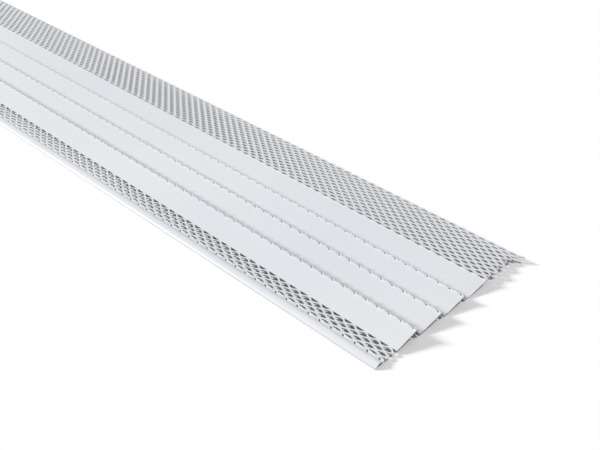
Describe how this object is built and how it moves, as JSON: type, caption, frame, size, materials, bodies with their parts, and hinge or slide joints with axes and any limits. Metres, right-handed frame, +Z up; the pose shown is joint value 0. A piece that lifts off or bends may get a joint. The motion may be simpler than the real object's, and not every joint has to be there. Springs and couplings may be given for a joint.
{
  "type": "gutter guard",
  "caption": "Long formed aluminium gutter guard: hollow rounded nose, narrow expanded-mesh band, four sloping strips with mesh steps between them, and a wide expanded-mesh flange at the back.",
  "frame": {"origin": "centre of the guard's bounding box, on the level floor that it lies on", "axes": "+X along the length, +Y from the rounded front nose to the rear mesh, +Z up"},
  "size_m": [0.9144, 0.1758, 0.0073],
  "materials": {
    "coated_aluminium": "satin off-white coating"
  },
  "bodies": {
    "root": {"nose_1": "coated_aluminium", "nose_2": "coated_aluminium", "nose_3": "coated_aluminium", "front_mesh_1": "coated_aluminium", "front_mesh_2": "coated_aluminium", "strip_1": "coated_aluminium", "strip_2": "coated_aluminium", "strip_3": "coated_aluminium", "strip_4": "coated_aluminium", "step_mesh_1": "coated_aluminium", "step_mesh_2": "coated_aluminium", "step_mesh_3": "coated_aluminium", "rear_mesh_1": "coated_aluminium", "rear_mesh_2": "coated_aluminium", "rear_mesh_3": "coated_aluminium", "rear_mesh_4": "coated_aluminium"}
  },
  "joints": []
}
